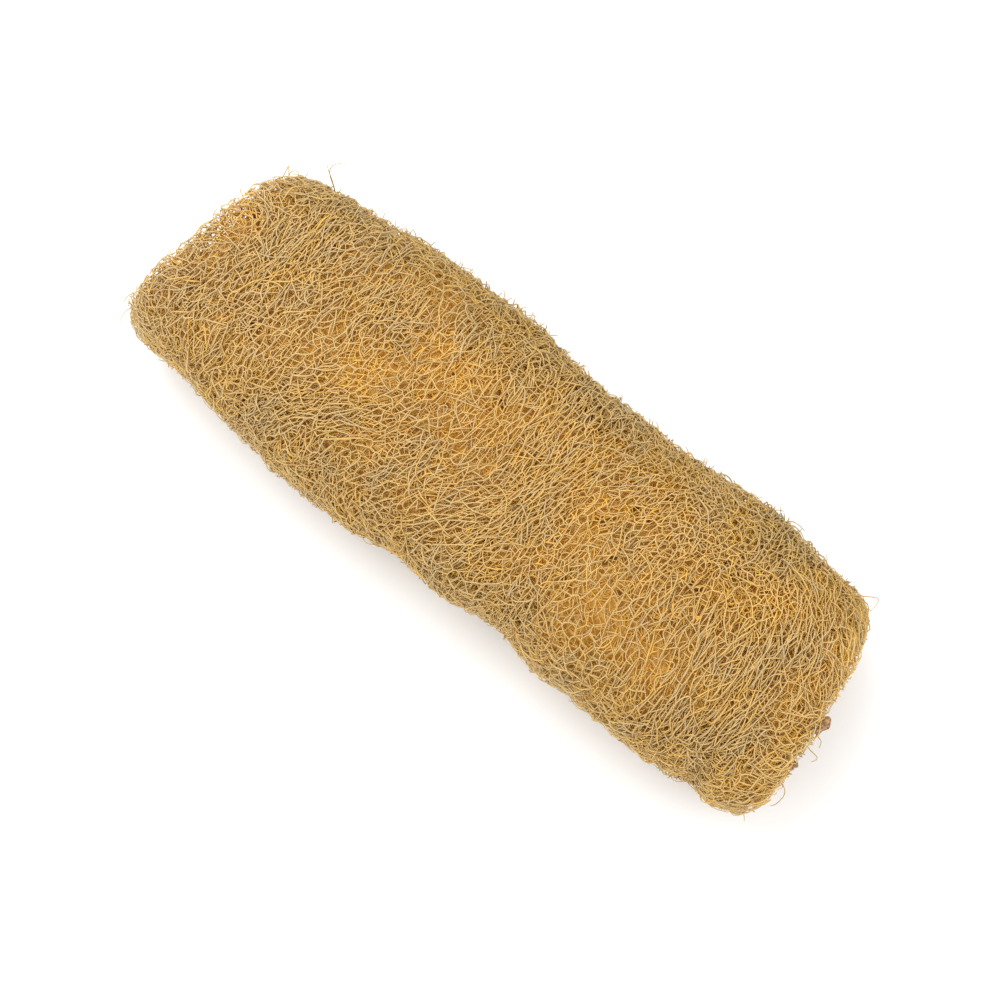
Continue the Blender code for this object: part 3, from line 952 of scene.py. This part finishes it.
def cut_channel(piece, channel):
    """Takes one seed channel out of a closed piece, a little wider than its lining."""
    middle_y, middle_z, wide, high, turn = channel
    sides, spare, reach = 40, 0.0005, 0.12
    angle = math.radians(turn)
    shape = bmesh.new()
    rings = []
    for x in (-reach, reach):
        ring = []
        for i in range(sides):
            theta = 2 * math.pi * i / sides
            across = (wide + spare) * math.cos(theta)
            up = (high + spare) * math.sin(theta)
            y = middle_y + across * math.cos(angle) - up * math.sin(angle)
            z = middle_z + across * math.sin(angle) + up * math.cos(angle)
            ring.append(shape.verts.new((x, y, z + REST_LEVEL)))
        rings.append(ring)
    for i in range(sides):
        after = (i + 1) % sides
        shape.faces.new([rings[0][i], rings[1][i], rings[1][after], rings[0][after]])
    shape.faces.new(rings[0])
    shape.faces.new(reversed(rings[1]))
    bmesh.ops.recalc_face_normals(shape, faces=shape.faces)
    tool = new_piece("channel_tool", shape, piece.data.materials[0])
    modifier = piece.modifiers.new("channel", "BOOLEAN")
    modifier.operation = "DIFFERENCE"
    modifier.object = tool
    bpy.context.view_layer.update()
    cut = bpy.data.meshes.new_from_object(piece.evaluated_get(bpy.context.evaluated_depsgraph_get()))
    piece.modifiers.clear()
    piece.data = cut
    bpy.data.objects.remove(tool)


def new_material(name, roughness):
    """A plain material, with its nodes, its links and its shader's inputs."""
    material = bpy.data.materials.new(name)
    material.use_nodes = True
    tree = material.node_tree
    inputs = tree.nodes["Principled BSDF"].inputs
    inputs["Roughness"].default_value = roughness
    return material, tree.nodes, tree.links, inputs


def add_noise(nodes, links, place, scale, detail=2):
    texture = nodes.new("ShaderNodeTexNoise")
    texture.inputs["Scale"].default_value = scale
    texture.inputs["Detail"].default_value = detail
    links.new(place, texture.inputs["Vector"])
    return texture.outputs["Fac"]


def add_ramp(nodes, links, value, stops):
    """The colours that a value goes through, each stop as (value, colour)."""
    ramp = nodes.new("ShaderNodeValToRGB")
    elements = ramp.color_ramp.elements
    elements[0].position, elements[1].position = stops[0][0], stops[-1][0]
    for stop, _ in stops[1:-1]:
        elements.new(stop)
    for element, (_, colour) in zip(elements, stops):
        element.color = (*colour, 1)
    links.new(value, ramp.inputs["Fac"])
    return ramp.outputs["Color"]


def fibre_material():
    """Dry plant fibre: a colour for each fibre's tone, blotched and streaked, a little darker toward the
    right end and with painted shade on its back and front sides.
    """
    material, nodes, links, inputs = new_material("dry_fibre", 0.5)
    inputs["Specular IOR Level"].default_value = 0.25
    place = nodes.new("ShaderNodeTexCoord").outputs["Object"]
    attribute = nodes.new("ShaderNodeAttribute")
    attribute.attribute_name = "tone"
    tone = attribute.outputs["Fac"]
    for scale, detail, share in MOTTLES:
        mottled = nodes.new("ShaderNodeMath")
        mottled.operation = "MULTIPLY_ADD"
        mottled.inputs[1].default_value = share
        links.new(add_noise(nodes, links, place, scale, detail), mottled.inputs[0])
        links.new(tone, mottled.inputs[2])
        tone = mottled.outputs["Value"]
    lowered = nodes.new("ShaderNodeMath")
    lowered.operation = "SUBTRACT"
    lowered.inputs[1].default_value = 0.5 * sum(share for _, _, share in MOTTLES)
    links.new(tone, lowered.inputs[0])
    colour = add_ramp(nodes, links, lowered.outputs["Value"], FIBRE_STOPS)
    axes = nodes.new("ShaderNodeSeparateXYZ")
    links.new(place, axes.inputs["Vector"])
    # Darkens the fibre a little toward the right end, and paints shade on its back and front sides where
    # light falls off round the sponge
    for axis, *stretch in SHADES:
        brightness = shade_over(nodes, links, axes.outputs[axis], stretch)
        colour = multiply_colours(nodes, links, colour, brightness)
    links.new(colour, inputs["Base Color"])
    return material


def shade_over(nodes, links, place, stretch):
    """A brightness that goes from one value to another over a stretch of an axis."""
    shade = nodes.new("ShaderNodeMapRange")
    for name, value in zip(("From Min", "From Max", "To Min", "To Max"), stretch):
        shade.inputs[name].default_value = value
    links.new(place, shade.inputs["Value"])
    return shade.outputs["Result"]


def multiply_colours(nodes, links, first, second):
    mixed = nodes.new("ShaderNodeMix")
    mixed.data_type = "RGBA"
    mixed.blend_type = "MULTIPLY"
    mixed.inputs["Factor"].default_value = 1.0
    links.new(first, mixed.inputs["A"])
    links.new(second, mixed.inputs["B"])
    return mixed.outputs["Result"]


def under_material():
    """Deep fibre: a golden ground with the lines of a finer net on it, darkened in blotches by painted
    shade of hollows.
    """
    material, nodes, links, inputs = new_material("deep_fibre", 0.8)
    place = nodes.new("ShaderNodeTexCoord").outputs["Object"]
    net = nodes.new("ShaderNodeTexVoronoi")
    net.feature = "DISTANCE_TO_EDGE"
    net.inputs["Scale"].default_value = 520
    links.new(place, net.inputs["Vector"])
    ground = add_ramp(nodes, links, net.outputs["Distance"], UNDER_STOPS)
    # Painted shade: where the noise is low, blotches darken the ground as if deep hollows lay there
    hollow_shade_noise = add_noise(nodes, links, place, 170)
    hollow_shade = add_ramp(nodes, links, hollow_shade_noise, HOLLOW_SHADE_STOPS)
    links.new(multiply_colours(nodes, links, ground, hollow_shade), inputs["Base Color"])
    return material


def rind_material():
    """Dry brown rind, darker at its blotches."""
    material, nodes, links, inputs = new_material("dry_rind", 0.6)
    place = nodes.new("ShaderNodeTexCoord").outputs["Object"]
    blotch = add_noise(nodes, links, place, 1400, 4)
    links.new(add_ramp(nodes, links, blotch, RIND_STOPS), inputs["Base Color"])
    return material


def set_stage():
    """A plain pale floor, soft light all round and a broad soft light above."""
    material, _, _, inputs = new_material("pale_floor", 0.9)
    inputs["Base Color"].default_value = (0.90, 0.90, 0.90, 1)
    shape = bmesh.new()
    bmesh.ops.create_grid(shape, x_segments=1, y_segments=1, size=3.0)
    new_piece("floor", shape, material)

    world = bpy.data.worlds.new("soft_world")
    world.use_nodes = True
    world.node_tree.nodes["Background"].inputs["Color"].default_value = (1, 1, 1, 1)
    world.node_tree.nodes["Background"].inputs["Strength"].default_value = 1.38
    bpy.context.scene.world = world

    lamp = bpy.data.lights.new("key", "AREA")
    lamp.shape = "DISK"
    lamp.size = 0.55
    lamp.energy = 2.1
    key = bpy.data.objects.new("key", lamp)
    key.location = (-0.34, 0.06, 0.62)
    key.rotation_euler = (-key.location).to_track_quat("-Z", "Y").to_euler()
    bpy.context.scene.collection.objects.link(key)


def set_camera():
    """Looks down on the sponge from a little below it in the picture, as the photo does."""
    azimuth, elevation = math.radians(38.7), math.radians(80)
    distance, width = 0.50, 0.2228
    target = Vector((0.0024, -0.0054, 0.024))
    back = Vector(
        (
            math.sin(azimuth) * math.cos(elevation),
            -math.cos(azimuth) * math.cos(elevation),
            math.sin(elevation),
        )
    )
    camera = bpy.data.cameras.new("camera")
    camera.sensor_width = 36
    camera.lens = camera.sensor_width * distance / width
    camera.clip_start = 0.01
    holder = bpy.data.objects.new("camera", camera)
    holder.location = target + back * distance
    holder.rotation_euler = back.to_track_quat("Z", "Y").to_euler()
    bpy.context.scene.collection.objects.link(holder)
    bpy.context.scene.camera = holder


def main():
    rng = np.random.default_rng(SEED)
    sway = (make_field(rng, SWAY_SIZE), make_field(rng, SWAY_SIZE))
    grain = make_grain(sway)
    bundle_field = make_field(rng, BUNDLE_SIZE)
    open_field = make_field(rng, OPEN_SIZE)
    span = (-NET_MARGIN, LENGTH + NET_MARGIN)
    pieces = []
    for net in SKIN_NETS:
        own_warp = (make_field(rng, WARP_SIZE), make_field(rng, WARP_SIZE))
        warps = ((SWAY, sway), (WARP, own_warp))
        pieces.append(net_piece(rng, net, span, GIRTH, warps, open_field, on_skin, within_cuts))
    for lot in LOOSE_LOTS:
        pieces.append(bundle_piece(rng, lot, grain, bundle_field))
    warps = ((CUT_WARP, own_warp),)
    for at_left in (True, False):
        for layer, depth in enumerate(CUT_DEPTHS):
            pieces.append(cut_net(rng, layer, at_left, depth, warps, open_field))
        pieces.append(stubs(rng, at_left))
    for index, channel in enumerate(CHANNELS):
        pieces.append(channel_net(rng, index, channel, warps, open_field))
    pieces += [fuzz(rng, grain), hairs(rng)]
    pieces += [strays(rng, grain, lot) for lot in STRAY_LOTS]
    fibre = fibre_material()
    for piece in pieces:
        piece.data.materials.append(fibre)
    pieces.append(under_mat(under_material()))
    rind = rind_material()
    for index, flake in enumerate(FLAKES):
        pieces.append(rind_flake(index, flake, rind))
    for piece in pieces:
        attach(piece, "root")
        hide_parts(NODE)
    set_stage()
    set_camera()
    bpy.context.scene.view_settings.view_transform = "Standard"


main()
